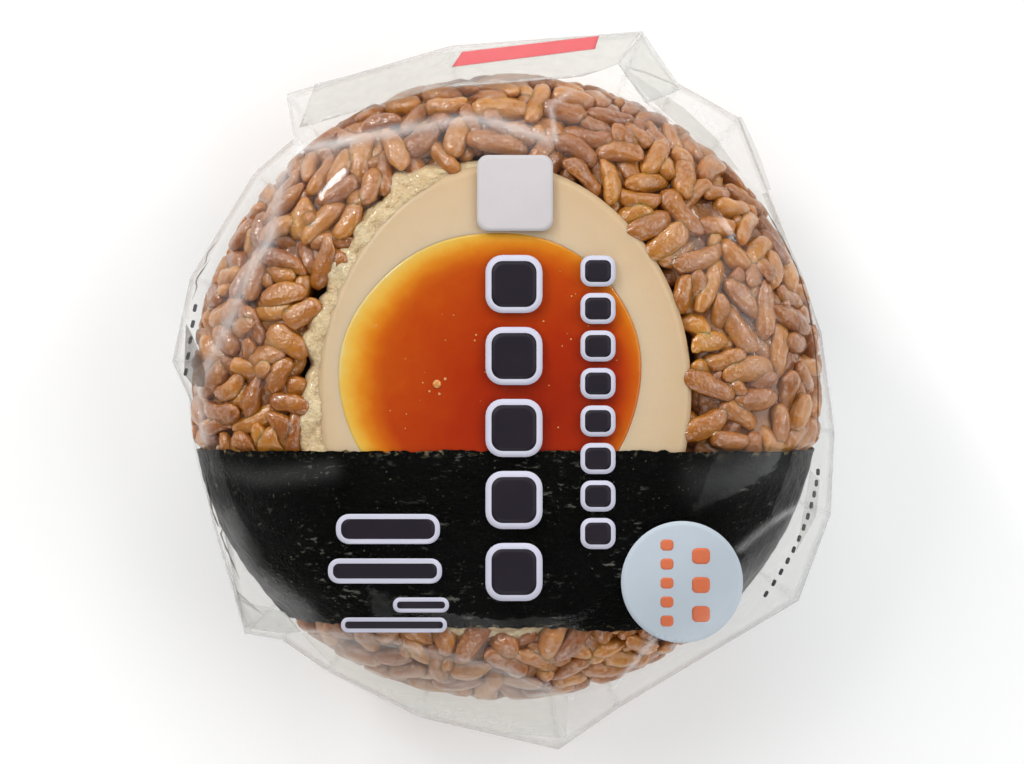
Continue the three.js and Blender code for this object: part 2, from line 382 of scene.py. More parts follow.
def mayo_material():
    m, nt, p, _ = new_material("thick_mayonnaise")
    n1 = noise(nt, 150, 4)
    n2 = noise(nt, 1000, 3)
    col = ramp(nt, n1, [(0.25, srgb(216, 182, 134)), (0.5, srgb(234, 206, 162)), (0.75, srgb(244, 224, 188))])
    col = mix(nt, maths(nt, "MULTIPLY", maths(nt, "SUBTRACT", n2, 0.55, True), 0.9, True), col, srgb(196, 156, 104))
    nt.links.new(col, p.inputs["Base Color"])
    p.inputs["Roughness"].default_value = 0.34
    p.inputs["Specular IOR Level"].default_value = 0.5
    subsurface(p, 0.3, (1.0, 0.7, 0.4), 0.003)
    h = maths(nt, "ADD", noise(nt, 500, 5, 0.6), maths(nt, "MULTIPLY", noise(nt, 2400, 3), 0.5))
    p.inputs["Coat Weight"].default_value = 0.5
    p.inputs["Coat Roughness"].default_value = 0.12
    nt.links.new(bump(nt, h, 0.9, 0.0011), p.inputs["Normal"])
    return m


def nori_material():
    m, nt, p, _ = new_material("dried_seaweed")
    n1 = noise(nt, 90, 4, 0.6)
    n2 = noise(nt, 900, 4, 0.65, 0.8)
    n3 = noise(nt, 2600, 2, 0.5)
    col = ramp(nt, n1, [(0.3, srgb(1, 1, 1)), (0.55, srgb(3, 3, 2)), (0.8, srgb(8, 9, 6))])
    col = mix(nt, maths(nt, "MULTIPLY", maths(nt, "SUBTRACT", n2, 0.6, True), 2.6, True), col, srgb(26, 28, 20))
    col = mix(nt, maths(nt, "MULTIPLY", maths(nt, "SUBTRACT", n3, 0.7, True), 8.0, True), col, srgb(132, 128, 100))
    # pale streaks drawn out along X, in patches: partly the seaweed's own pale flecks, partly painted sheen from its
    # wrinkles
    flecks = grain_noise(nt, 1500, (0.42, 1.0, 1.0), 3, 0.6)
    where = noise(nt, 130, 3, 0.6)
    f = maths(nt, "MULTIPLY", maths(nt, "SUBTRACT", flecks, 0.575, True), maths(nt, "MULTIPLY", maths(nt, "SUBTRACT", where, 0.49, True), 70.0), True)
    col = mix(nt, f, col, srgb(96, 96, 90))
    edge = attribute(nt, "edge")
    col = mix(nt, maths(nt, "MULTIPLY", edge, maths(nt, "MULTIPLY", maths(nt, "SUBTRACT", n2, 0.55, True), 6.0, True)), col, srgb(158, 146, 112))
    nt.links.new(col, p.inputs["Base Color"])
    p.inputs["Roughness"].default_value = 0.3
    p.inputs["Specular IOR Level"].default_value = 0.03
    h = maths(nt, "ADD", maths(nt, "MULTIPLY", n2, 0.8), maths(nt, "MULTIPLY", n3, 0.4))
    h = maths(nt, "ADD", h, maths(nt, "MULTIPLY", grain_noise(nt, 420, (0.4, 1.0, 1.0), 4, 0.6), 1.6))
    nt.links.new(bump(nt, h, 0.8, 0.0009), p.inputs["Normal"])
    return m


def film_material(name, gloss=0.5, clear=(0.978, 0.978, 0.968), rough=0.06, body=(0.84, 0.84, 0.83)):
    """Clear film: light passes it, except for its gloss and for the whitening where it is creased or doubled; that
    whitening also carries painted highlights along the creases and painted shading of the loose facets.
    """
    m, nt, p, out = new_material(name)
    haze_and_painted_light = attribute(nt, "haze_and_painted_light")
    n1 = noise(nt, 70, 2, 0.6)
    n2 = noise(nt, 520, 2, 0.6)
    streak = maths(nt, "ADD", maths(nt, "MULTIPLY", n1, 1.3), maths(nt, "MULTIPLY", n2, 0.7))
    # painted light: the whitening carries real haze together with painted highlight streaks along creases and painted
    # shading of the loose facets
    white = maths(nt, "MULTIPLY", haze_and_painted_light, streak, True)
    lw = node(nt, "ShaderNodeLayerWeight")
    lw.inputs["Blend"].default_value = 0.3
    shine = maths(nt, "MINIMUM", maths(nt, "MULTIPLY", lw.outputs["Fresnel"], gloss), 0.036)
    patch = maths(nt, "MULTIPLY", maths(nt, "SUBTRACT", noise(nt, 55, 2, 0.6), 0.38, True), 4.2, True)
    shine = maths(nt, "MULTIPLY", shine, maths(nt, "ADD", maths(nt, "MULTIPLY", patch, 1.0), 0.1))
    relief = bump(nt, maths(nt, "ADD", noise(nt, 130, 1, 0.5), maths(nt, "MULTIPLY", n2, 0.3)), 0.16, 0.0006)
    nt.links.new(mix(nt, n2, tuple(c * 0.93 for c in body), body), p.inputs["Base Color"])
    p.inputs["Roughness"].default_value = 0.3
    p.inputs["Specular IOR Level"].default_value = 0.6
    p.inputs["Coat Weight"].default_value = 0.8
    p.inputs["Coat Roughness"].default_value = 0.05
    nt.links.new(relief, p.inputs["Normal"])
    g = node(nt, "ShaderNodeBsdfGlossy")
    g.inputs["Roughness"].default_value = rough
    g.inputs["Color"].default_value = (0.95, 0.95, 0.96, 1)
    nt.links.new(relief, g.inputs["Normal"])
    t = node(nt, "ShaderNodeBsdfTransparent")
    t.inputs["Color"].default_value = (*clear, 1)
    ms = node(nt, "ShaderNodeMixShader")
    nt.links.new(shine, ms.inputs[0])
    nt.links.new(t.outputs[0], ms.inputs[1])
    nt.links.new(g.outputs[0], ms.inputs[2])
    ms2 = node(nt, "ShaderNodeMixShader")
    nt.links.new(white, ms2.inputs[0])
    nt.links.new(ms.outputs[0], ms2.inputs[1])
    nt.links.new(p.outputs[0], ms2.inputs[2])
    nt.links.new(ms2.outputs[0], out.inputs["Surface"])
    return m


def ink_material(name, colour, alt, alpha=1.0):
    m, nt, p, out = new_material(name)
    col = mix(nt, noise(nt, 300, 3), colour, alt)
    nt.links.new(col, p.inputs["Base Color"])
    p.inputs["Roughness"].default_value = 0.5
    p.inputs["Specular IOR Level"].default_value = 0.25
    if alpha < 1:
        t = node(nt, "ShaderNodeBsdfTransparent")
        ms = node(nt, "ShaderNodeMixShader")
        ms.inputs[0].default_value = alpha
        nt.links.new(t.outputs[0], ms.inputs[1])
        nt.links.new(p.outputs[0], ms.inputs[2])
        nt.links.new(ms.outputs[0], out.inputs["Surface"])
    return m


# ------------------------------------------------------------------ camera, floor, light
def stage_set():
    cam = bpy.data.cameras.new("camera")
    cam.lens, cam.sensor_width = LENS, 36
    cam.clip_start, cam.clip_end = 0.01, 20
    o = bpy.data.objects.new("camera", cam)
    o.location = tuple(c * MM for c in CAM)
    o.rotation_euler = (0, 0, 0)
    bpy.context.scene.collection.objects.link(o)
    bpy.context.scene.camera = o

    verts = np.array([[-3000, -3000, -0.05], [3000, -3000, -0.05], [3000, 3000, -0.05], [-3000, 3000, -0.05]], float)
    mesh = bpy.data.meshes.new("floor")
    mesh.from_pydata((verts * MM).tolist(), [], [(0, 1, 2, 3)])
    m, nt, p, _ = new_material("pale_floor")
    nt.links.new(mix(nt, noise(nt, 3, 2), (0.9, 0.9, 0.9), (0.92, 0.92, 0.915)), p.inputs["Base Color"])
    p.inputs["Roughness"].default_value = 0.9
    p.inputs["Specular IOR Level"].default_value = 0.1
    p.inputs["Emission Color"].default_value = (1, 1, 1, 1)
    p.inputs["Emission Strength"].default_value = 0.16
    mesh.materials.append(m)
    floor = bpy.data.objects.new("floor", mesh)
    bpy.context.scene.collection.objects.link(floor)

    world = bpy.data.worlds.new("studio")
    world.use_nodes = True
    world.node_tree.nodes["Background"].inputs["Color"].default_value = (0.97, 0.98, 1.0, 1)
    world.node_tree.nodes["Background"].inputs["Strength"].default_value = 0.13
    bpy.context.scene.world = world

    def area(name, at, size, power, colour=(1, 1, 1), look=(0, 0, 0.02)):
        d = bpy.data.lights.new(name, "AREA")
        d.shape, d.size, d.energy, d.color = "SQUARE", size, power, colour
        o = bpy.data.objects.new(name, d)
        o.location = at
        o.rotation_euler = (Vector(look) - Vector(at)).to_track_quat("-Z", "Y").to_euler()
        bpy.context.scene.collection.objects.link(o)

    area("key_left", (-0.78, 0.45, 0.72), 0.8, 5.5, (1.0, 0.985, 0.96))
    area("soft_right", (0.85, 0.1, 0.75), 1.0, 6.2, (0.97, 0.985, 1.0))
    area("soft_top", (0.05, 0.95, 0.62), 0.8, 4.6)
    area("soft_front", (-0.1, -0.95, 0.64), 0.8, 4.2)
    area("spark", (-0.58, 0.66, 0.46), 0.13, 2.3)
    area("spark_right", (0.66, 0.5, 0.46), 0.12, 1.0)
    bpy.context.scene.view_settings.view_transform = "Standard"


# ------------------------------------------------------------------ rice
def grain_mesh(n, around, rings, length, width, thick, bend, taper, rng):
    """n grains at once: (n, v, 3) points about their middles, long side on X, and one grain's faces."""
    s = -np.cos(np.linspace(0, math.pi, rings + 1))[1:-1]
    phi = np.arange(around) * 2 * math.pi / around
    prof = (1 - np.abs(s) ** 3.0) ** 0.5
    v = around * (rings - 1) + 2
    pts = np.zeros((n, v, 3))
    ss = np.concatenate([np.repeat(s, around), [-1, 1]])
    pp = np.concatenate([np.repeat(prof, around), [0, 0]])
    ph = np.concatenate([np.tile(phi, rings - 1), [0, 0]])
    dent = rng.uniform(0.0, 0.12, (n, 1))
    turn = rng.uniform(0, 2 * math.pi, (n, 1))
    lump = 1 - dent * (0.5 + 0.5 * np.cos(2 * (ph[None] - turn))) * (1 - ss[None] ** 2)
    lump = lump * (1 + 0.05 * np.sin(3.1 * ss[None] + turn * 2))
    r = pp[None] * lump * (1 + taper[:, None] * ss[None])
    pts[..., 0] = ss[None] * length[:, None] / 2
    pts[..., 1] = r * np.cos(ph)[None] * width[:, None] / 2 + bend[:, None] * (ss[None] ** 2 - 0.4)
    pts[..., 2] = r * np.sin(ph)[None] * thick[:, None] / 2
    faces = ring_faces(rings - 1, around, v - 2, v - 1)
    return pts, faces, ss


def surface_samples():
    """Points over the whole puck with their outward directions and area weights."""
    t = np.linspace(-math.pi / 2, math.pi / 2, 181)
    r = RICE_R * np.abs(np.cos(t)) ** (2 / SHOULDER)
    h = np.where(t > 0, RICE_TOP - WIDEST, WIDEST - RICE_BOTTOM)
    z = WIDEST + h * np.sign(np.sin(t)) * np.abs(np.sin(t)) ** (2 / SHOULDER)
    s = np.concatenate([[0], np.cumsum(np.hypot(np.diff(r), np.diff(z)))])
    q = np.linspace(0, s[-1], 260)
    rq, zq = np.interp(q, s, r), np.interp(q, s, z)
    dr, dz = np.gradient(rq, q), np.gradient(zq, q)
    return q, rq, zq, dz, -dr  # the outward direction is (dz, -dr) in (r, z)


def place_grains():
    q, rq, zq, nr, nz = surface_samples()
    cum = np.cumsum(rq)
    cum /= cum[-1]
    kept = {k: [] for k in ("c", "x", "n", "len", "wid", "layer")}
    balls = np.zeros((0, 3))
    rads = np.zeros(0)
    # layer: depth of the middle under the rice's skin, tilt, closeness, number of tries
    plans = [
        (0, 1.0, 0.12, 0.86, 9000), (0, 1.2, 0.22, 0.76, 11000), (0, 1.6, 0.32, 0.66, 12000),
        (1, 2.1, 0.4, 0.66, 11000), (1, 2.7, 0.5, 0.56, 13000), (2, 3.4, 0.5, 0.66, 6000),
    ]
    balls_l, rads_l = [], []
    for layer, depth, tilt, close, tries in plans:
        u = np.interp(RNG.random(tries), cum, np.arange(len(q)))
        a = RNG.random(tries) * 2 * math.pi
        r0, z0 = np.interp(u, np.arange(len(q)), rq), np.interp(u, np.arange(len(q)), zq)
        n_r, n_z = np.interp(u, np.arange(len(q)), nr), np.interp(u, np.arange(len(q)), nz)
        length = RNG.uniform(4.4, 7.0, tries)
        width = RNG.uniform(1.95, 2.75, tries)
        d = depth + RNG.uniform(-0.15, 0.35, tries)
        k = wavy(a)
        n = np.stack([n_r * np.cos(a), n_r * np.sin(a), n_z], -1)
        n /= np.linalg.norm(n, axis=1)[:, None]
        c = np.stack([CX + r0 * k * np.cos(a), CY + r0 * k * np.sin(a), z0], -1) + n * (RICE_G - d)[:, None]
        e1 = np.cross(n, [0.31, 0.17, 0.93])
        e1 /= np.linalg.norm(e1, axis=1)[:, None]
        e2 = np.cross(n, e1)
        # grains lie in loose groups that share a direction
        way = 2.4 * vnoise(c, 0.06, 5) * math.pi / 2 + RNG.normal(0, 0.9, tries)
        x = e1 * np.cos(way)[:, None] + e2 * np.sin(way)[:, None]
        lean = RNG.normal(0, tilt, tries)
        x = x * np.cos(lean)[:, None] + n * np.sin(lean)[:, None]
        # room for the egg and its sauce
        fx, fy = (c[:, 0] - EGG_C[0]), (c[:, 1] - EGG_C[1])
        left = np.clip(-fx / 14 + fy / 60, 0, 1)
        grow = 1.05 + 1.9 * left
        deep = np.clip((WIDEST + 20 - c[:, 2]) / (EGG_D + 2.0), -1, 1)
        egg = (fx / (EGG_A + grow)) ** 2 + (fy / (EGG_B + grow)) ** 2 + np.maximum(deep, 0) ** 2
        under_nori = (c[:, 1] < NORI_HIGH - 3.2) & (c[:, 1] > NORI_LOW + 3.2) & (layer > 0)
        ok = (egg > 1) & ~under_nori & (c[:, 2] > RICE_BOTTOM + 0.2)
        for i in np.nonzero(ok)[0]:
            step = (length[i] - width[i]) / 2
            w = width[i] / 2
            mine = c[i] + x[i] * np.array([-step, 0, step])[:, None]
            if len(balls):
                gap = np.linalg.norm(balls[None] - mine[:, None], axis=2)
                if (gap < close * (rads[None] + w)).any():
                    continue
            balls_l.append(mine)
            rads_l.append(np.full(3, w))
            balls = np.concatenate([balls, mine])
            rads = np.concatenate([rads, np.full(3, w)])
            for key, val in zip(kept, (c[i], x[i], n[i], length[i], width[i], layer)):
                kept[key].append(val)
    return {k: np.array(v) for k, v in kept.items()}


def build_rice(material, core):
    g = place_grains()
    n = len(g["len"])
    print("grains", n, [int((g["layer"] == k).sum()) for k in range(3)])
    front = (g["c"][:, 2] > 20) & ~((g["c"][:, 1] < NORI_HIGH - 4) & (g["c"][:, 1] > NORI_LOW + 4))
    for name, sel, around, rings in (("rice_grains_front", front, 10, 9), ("rice_grains_back", ~front, 8, 7)):
        idx = np.nonzero(sel)[0]
        m = len(idx)
        rng = np.random.default_rng(len(name))
        pts, faces, ss = grain_mesh(
            m, around, rings, g["len"][idx] * 1.1, g["wid"][idx] * 1.22, g["wid"][idx] * rng.uniform(0.95, 1.15, m),
            rng.normal(0, 0.36, m), rng.normal(0, 0.1, m), rng)
        x, nn = g["x"][idx], g["n"][idx]
        z = nn - (nn * x).sum(1)[:, None] * x
        z /= np.linalg.norm(z, axis=1)[:, None]
        y = np.cross(z, x)
        world = g["c"][idx][:, None] + pts[..., :1] * x[:, None] + pts[..., 1:2] * y[:, None] + pts[..., 2:] * z[:, None]
        flat = world.reshape(-1, 3)
        flat += 0.28 * np.stack([vnoise(flat, 0.4, 11), vnoise(flat, 0.4, 12), vnoise(flat, 0.4, 13)], -1)
        flat += 0.18 * np.stack([vnoise(flat, 0.95, 15), vnoise(flat, 0.95, 16), vnoise(flat, 0.95, 17)], -1)
        # pressed by the film, and by the seaweed where that covers them
        reach = nori_top(np.arctan2(flat[:, 2] - WIDEST, flat[:, 0] - CX))
        under = np.clip((np.minimum(reach + 0.9 - flat[:, 1], flat[:, 1] - NORI_LOW + 0.9)) / 1.0, 0, 1)
        limit = RICE_G - 0.42 * under + 0.05 * vnoise(flat, 0.3, 14)
        f = puck_f(flat, 0.0)
        # distance to the skin, roughly: soft press rather than a sharp cut
        rr = (f - 1) * 24
        over = rr - limit
        soft = np.where(over > -0.5, -0.5 + 0.5 * (1 - np.exp(-(over + 0.5) / 0.5)), over)
        new_f = 1 + (limit + soft) / 24
        centre = np.array([CX, CY, WIDEST])
        flat = np.where((over > -0.5)[:, None], centre + (flat - centre) * (new_f / np.maximum(f, 1e-6))[:, None], flat)
        flat = clamp_in(flat, RICE_G + 0.12 - under * (RICE_G + 0.12 - NORI_G + 0.8))
        v = len(ss)
        all_faces = []
        tri = np.array([f for f in faces if len(f) == 3])
        quad = np.array([f for f in faces if len(f) == 4])
        for arr in (quad, tri):
            all_faces += (arr[None] + (np.arange(m) * v)[:, None, None]).reshape(-1, arr.shape[1]).tolist()
        tint = np.repeat(rng.uniform(-0.45, 0.75, m), v)
        # painted shade: how far each point lies under the rice's skin, read by the material to darken the gaps between
        # grains
        depth = np.clip(-((puck_f(flat, 0.0) - 1) * 24 - RICE_G) / 4.6 - 0.25, 0, 0.9)
        o = piece(name, flat, all_faces, material, {"tint": tint, "depth": depth})
        tris = sum(len(p.vertices) - 2 for p in o.data.polygons)
        print(name, m, "grains", tris, "triangles")

    # the smaller core that the grains lie on, with the egg's hollow pressed into it
    around, rows = 360, 180
    t = np.linspace(-math.pi / 2, math.pi / 2, rows + 2)[1:-1]
    a = np.arange(around) * 2 * math.pi / around
    tt, aa = np.meshgrid(t, a, indexing="ij")
    r = RICE_R * np.abs(np.cos(tt)) ** (2 / SHOULDER)
    h = np.where(tt > 0, RICE_TOP - WIDEST, WIDEST - RICE_BOTTOM)
    zz = WIDEST + h * np.sign(np.sin(tt)) * np.abs(np.sin(tt)) ** (2 / SHOULDER)
    p = np.stack([CX + r * wavy(aa) * np.cos(aa), CY + r * wavy(aa) * np.sin(aa), zz], -1).reshape(-1, 3)
    p = np.concatenate([p, [[CX, CY, RICE_BOTTOM], [CX, CY, RICE_TOP]]])
    c = np.array([CX, CY, WIDEST])
    d = np.linalg.norm(p - c, axis=1)
    sink = np.maximum(0.62 + 0.5 * fbm(p, 0.32, 21) + 0.3 * fbm(p, 0.9, 24, 2), 0.08)
    p = c + (p - c) * ((d - sink) / d)[:, None]
    fx, fy = p[:, 0] - EGG_C[0], p[:, 1] - EGG_C[1]
    left = np.clip(-fx / 14 + fy / 60, 0, 1)
    e = (fx / (EGG_A + 1.1 + 2.6 * left)) ** 2 + (fy / (EGG_B + 1.1 + 2.6 * left)) ** 2
    bottom = WIDEST + 20 - (EGG_D + 2.5) * np.sqrt(np.clip(1 - e, 0, 1))
    p[:, 2] = np.where((e < 1) & (p[:, 2] > bottom), bottom, p[:, 2])
    n = around * rows
    o = piece("rice_core", p, ring_faces(rows, around, n, n + 1), core)
    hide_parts("rice_ball")


# ------------------------------------------------------------------ egg
def yolk_edge(phi):
    return 1 + 0.012 * np.sin(2 * phi + 0.6) + 0.008 * np.sin(3 * phi - 1.0) + 0.004 * np.sin(7 * phi)


def in_yolk(x, y):
    """1 on the yolk's edge."""
    dx, dy = (x - YOLK_C[0]) / YOLK_A, (y - YOLK_C[1]) / YOLK_B
    return np.hypot(dx, dy) / yolk_edge(np.arctan2(dy, dx))


def egg_front(x, y):
    """Cut face of the egg, a little proud and gently waved."""
    p = np.stack([x, y, np.zeros_like(x)], -1)
    return front_z(x, y, EGG_G) + 0.07 * vnoise(p, 0.09, 3) - 0.05


def build_egg(white_mat, yolk_mat, bubbles_mat):
    around = 192
    phi = np.arange(around) * 2 * math.pi / around
    rows_f = 40
    rows = []
    edges = []
    yx = YOLK_C[0] + YOLK_A * yolk_edge(phi) * np.cos(phi)
    yy = YOLK_C[1] + YOLK_B * yolk_edge(phi) * np.sin(phi)
    # outline of the cut face, met by rays from the yolk's middle
    ox, oy = [], []
    for x0, y0 in zip(yx, yy):
        dx, dy = x0 - YOLK_C[0], y0 - YOLK_C[1]
        u, v = (YOLK_C[0] - EGG_C[0]) / EGG_A, (YOLK_C[1] - EGG_C[1]) / EGG_B
        du, dv = dx / EGG_A, dy / EGG_B
        A, B, C = du * du + dv * dv, 2 * (u * du + v * dv), u * u + v * v - 1
        k = (-B + math.sqrt(B * B - 4 * A * C)) / (2 * A)
        ox.append(YOLK_C[0] + k * dx)
        oy.append(YOLK_C[1] + k * dy)
    ox, oy = np.array(ox), np.array(oy)
    wob = 1 + 0.004 * np.sin(3 * phi + 1) + 0.003 * np.sin(5 * phi)
    ox, oy = EGG_C[0] + (ox - EGG_C[0]) * wob, EGG_C[1] + (oy - EGG_C[1]) * wob
    # wall of the yolk's hollow, from deep inside up to the face
    for k, (sx, dz) in enumerate(((0.35, -14.2), (0.6, -12.2), (0.8, -9.2), (0.93, -5.6), (0.985, -2.6), (1.0, -0.6))):
        x, y = YOLK_C[0] + (yx - YOLK_C[0]) * sx, YOLK_C[1] + (yy - YOLK_C[1]) * sx
        rows.append(np.stack([x, y, egg_front(yx, yy) + dz], -1))
        edges.append(np.zeros(around))
    for k in range(rows_f + 1):
        f = k / rows_f
        x, y = yx + (ox - yx) * f, yy + (oy - yy) * f
        dist_in = np.hypot(x - yx, y - yy)
        dist_out = np.hypot(x - ox, y - oy)
        z = egg_front(x, y)
        z = z - 0.04 * np.exp(-dist_in / 0.5) - 0.6 * np.clip(1 - dist_out / 1.0, 0, 1) ** 2.4
        rows.append(np.stack([x, y, z], -1))
        edges.append(np.full(around, f ** 2))
    # rounded back of the half egg
    zc = WIDEST + 19.0
    for k in range(1, 22):
        t = k / 22 * math.pi / 2
        x = EGG_C[0] + (ox - EGG_C[0]) * math.cos(t) ** 0.9
        y = EGG_C[1] + (oy - EGG_C[1]) * math.cos(t) ** 0.9
        z0 = rows[5 + rows_f + 1][:, 2]
        z = z0 + (zc - EGG_D - z0) * math.sin(t)
        rows.append(np.stack([x, y, z], -1))
        edges.append(np.ones(around))
    v = np.concatenate(rows)
    e = np.concatenate(edges)
    lo = v[:around].mean(0) - np.array([0, 0, 0.8])
    v = np.concatenate([v, [lo], [[EGG_C[0], EGG_C[1], zc - EGG_D]]])
    e = np.concatenate([e, [0, 1]])
    n = len(v)
    o = piece("egg_white_half", v, ring_faces(len(rows), around, n - 2, n - 1), white_mat, {"edge": e})
    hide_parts("egg_white")

    # yolk: a glossy, slightly sunken and wrinkled face over a rounded body
    rows, warm = [], []
    R = 46
    for k in range(1, R + 1):
        f = (k / R) ** 0.85
        x, y = YOLK_C[0] + (yx - YOLK_C[0]) * f, YOLK_C[1] + (yy - YOLK_C[1]) * f
        p = np.stack([x, y, np.zeros_like(x)], -1)
        z = egg_front(x, y) - 0.05 + 0.1 * (vnoise(p, 0.16, 41) - 0.4) * (1 - f ** 6)
        rows.append(np.stack([x, y, z], -1))
        dx, dy = (x - YOLK_C[0]) / YOLK_A, (y - YOLK_C[1]) / YOLK_B
        rim = 1 - f
        # the pale rim is widest on the left and thin on the right
        side = np.clip(0.52 - 0.6 * dx + 0.1 * dy, 0.16, 1.1)
        start = np.clip(0.75 - side, 0, 0.42)
        w = start + (1 - start) * np.clip(rim / (0.15 + 0.16 * side ** 1.5), 0, 1)
        centre = np.clip(0.56 + 0.44 * (1 - np.hypot(dx - 0.3, dy + 0.28) / 1.05), 0.3, 1.0)
        warm.append(w ** 0.8 * centre)
    for k in range(1, 16):
        t = k / 16 * math.pi / 2
        x = YOLK_C[0] + (yx - YOLK_C[0]) * math.cos(t)
        y = YOLK_C[1] + (yy - YOLK_C[1]) * math.cos(t)
        z0 = rows[R - 1][:, 2]
        rows.append(np.stack([x, y, z0 - 14.0 * math.sin(t)], -1))
        warm.append(np.full(around, 0.4))
    v = np.concatenate(rows)
    w = np.concatenate(warm)
    top = np.array([YOLK_C[0], YOLK_C[1], float(egg_front(np.array([YOLK_C[0]]), np.array([YOLK_C[1]]))[0]) - 0.1])
    low = v[-around:].mean(0) - np.array([0, 0, 0.3])
    v = np.concatenate([v, [top], [low]])
    w = np.concatenate([w, [w[:around].mean()], [0.4]])
    n = len(v)
    o = piece("yolk_half", v, ring_faces(len(rows), around, n - 2, n - 1), yolk_mat, {"warm": w})
    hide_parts("egg_yolk")

    # bubbles and specks just in the yolk's skin
    rng = np.random.default_rng(77)
    verts, faces = [], []
    spots = []
    for _ in range(60):
        a, rr = rng.uniform(0, 2 * math.pi), math.sqrt(rng.random()) * 0.86
        spots.append((YOLK_C[0] + YOLK_A * rr * math.cos(a), YOLK_C[1] + YOLK_B * rr * math.sin(a), rng.uniform(0.05, 0.14)))
    c = px(437, 384, 38.8)
    spots += [(c[0], c[1], 0.55), (c[0] + 1.0, c[1] + 0.6, 0.2), (c[0] - 0.9, c[1] - 0.9, 0.16), (c[0] + 0.3, c[1] - 1.2, 0.18)]
    base = 0
    for x, y, r in spots:
        z = float(egg_front(np.array([x]), np.array([y]))[0]) - 0.06
        ph = np.arange(12) * math.pi / 6
        ring = []
        for t in (0.15, 0.5, 0.85):
            ring.append(np.stack([x + r * math.cos(t * math.pi / 2) * np.cos(ph), y + r * math.cos(t * math.pi / 2) * np.sin(ph),
                                  np.full(12, z + 0.35 * r * math.sin(t * math.pi / 2))], -1))
        vv = np.concatenate(ring + [[[x, y, z - 0.1 * r]], [[x, y, z + 0.36 * r]]])
        verts.append(vv)
        faces += [[i + base for i in f] for f in ring_faces(3, 12, 36, 37)]
        base += len(vv)
    piece("yolk_bubbles", np.concatenate(verts), faces, bubbles_mat)


# ------------------------------------------------------------------ mayonnaise
def build_mayo(material):
    around = 360
    phi = np.arange(around) * 2 * math.pi / around
    c, s = np.cos(phi), np.sin(phi)
    ex, ey = EGG_C[0] + EGG_A * c, EGG_C[1] + EGG_B * s
    nx, ny = c / EGG_A, s / EGG_B
    l = np.hypot(nx, ny)
    nx, ny = nx / l, ny / l
    # squeezed out on the left and at the top left, gone on the right
    deg = np.degrees(phi)
    spread = [(0, -.7), (62, -.7), (82, .3), (100, 1.0), (112, 2.3), (119, 3.3), (123, 3.5), (127, 2.3), (132.6, 3.0), (141.7, 2.0), (148.5, 3.0),
              (153.8, 1.6), (161, 2.6), (167, 3.1), (171.7, 1.3), (176, 1.8), (181.5, 2.8), (186, 3.4), (190.4, 3.6), (215, 3.0), (240, 2.2),
              (262, 1.6), (276, 1.5), (288, .5), (310, -.7), (360, -.7)]
    width = np.interp(deg, *zip(*spread))
    side = np.clip(width / 2.6, 0, 1)
    pr = np.stack([ex, ey, np.zeros(around)], -1)
    width = width + side * (0.35 * vnoise(pr, 0.5, 61) + 0.3 * vnoise(pr, 1.1, 62))
    rows = []
    steps = 16
    for k in range(steps + 1):
        f = k / steps
        w = -1.2 + (width + 1.2) * f
        x, y = ex + nx * w, ey + ny * w
        p = np.stack([x, y, np.zeros(around)], -1)
        dome = 0.1 - 1.5 * (1 - side) - 0.35 * (1 - side) * f
        lumps = 0.42 * fbm(p, 0.55, 63, 3) + 0.34 * fbm(p, 1.5, 66, 2)
        z = front_z(x, y, EGG_G) - 0.28 + dome + lumps * np.clip(0.3 + side, 0, 1) - 1.9 * np.clip((f - 0.62) / 0.38, 0, 1) ** 2.4
        tuck = np.clip((1.2 + w) / 1.2, 0, 1)
        z = np.minimum(z, front_z(x, y, EGG_G) - 0.02) - 1.2 * (1 - tuck) ** 2
        rows.append(np.stack([x, y, z], -1))
    # the bed under the egg
    edge = rows[-1]
    for k in range(1, 16):
        t = k / 16 * math.pi / 2
        x = EGG_C[0] + (edge[:, 0] - EGG_C[0]) * math.cos(t)
        y = EGG_C[1] + (edge[:, 1] - EGG_C[1]) * math.cos(t)
        rows.append(np.stack([x, y, edge[:, 2] + (13.5 - edge[:, 2]) * math.sin(t)], -1))
    inner = rows[0]
    front = []
    for k in range(14, 0, -1):
        t = k / 15 * math.pi / 2
        x = EGG_C[0] + (inner[:, 0] - EGG_C[0]) * math.cos(t)
        y = EGG_C[1] + (inner[:, 1] - EGG_C[1]) * math.cos(t)
        front.append(np.stack([x, y, inner[:, 2] + (15.2 - inner[:, 2]) * math.sin(t)], -1))
    rows = front + rows
    v = np.concatenate(rows + [[[EGG_C[0], EGG_C[1], 15.1]], [[EGG_C[0], EGG_C[1], 13.4]]])
    n = len(v)
    o = piece("mayonnaise_bed", v, ring_faces(len(rows), around, n - 2, n - 1), material)
    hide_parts("mayonnaise")


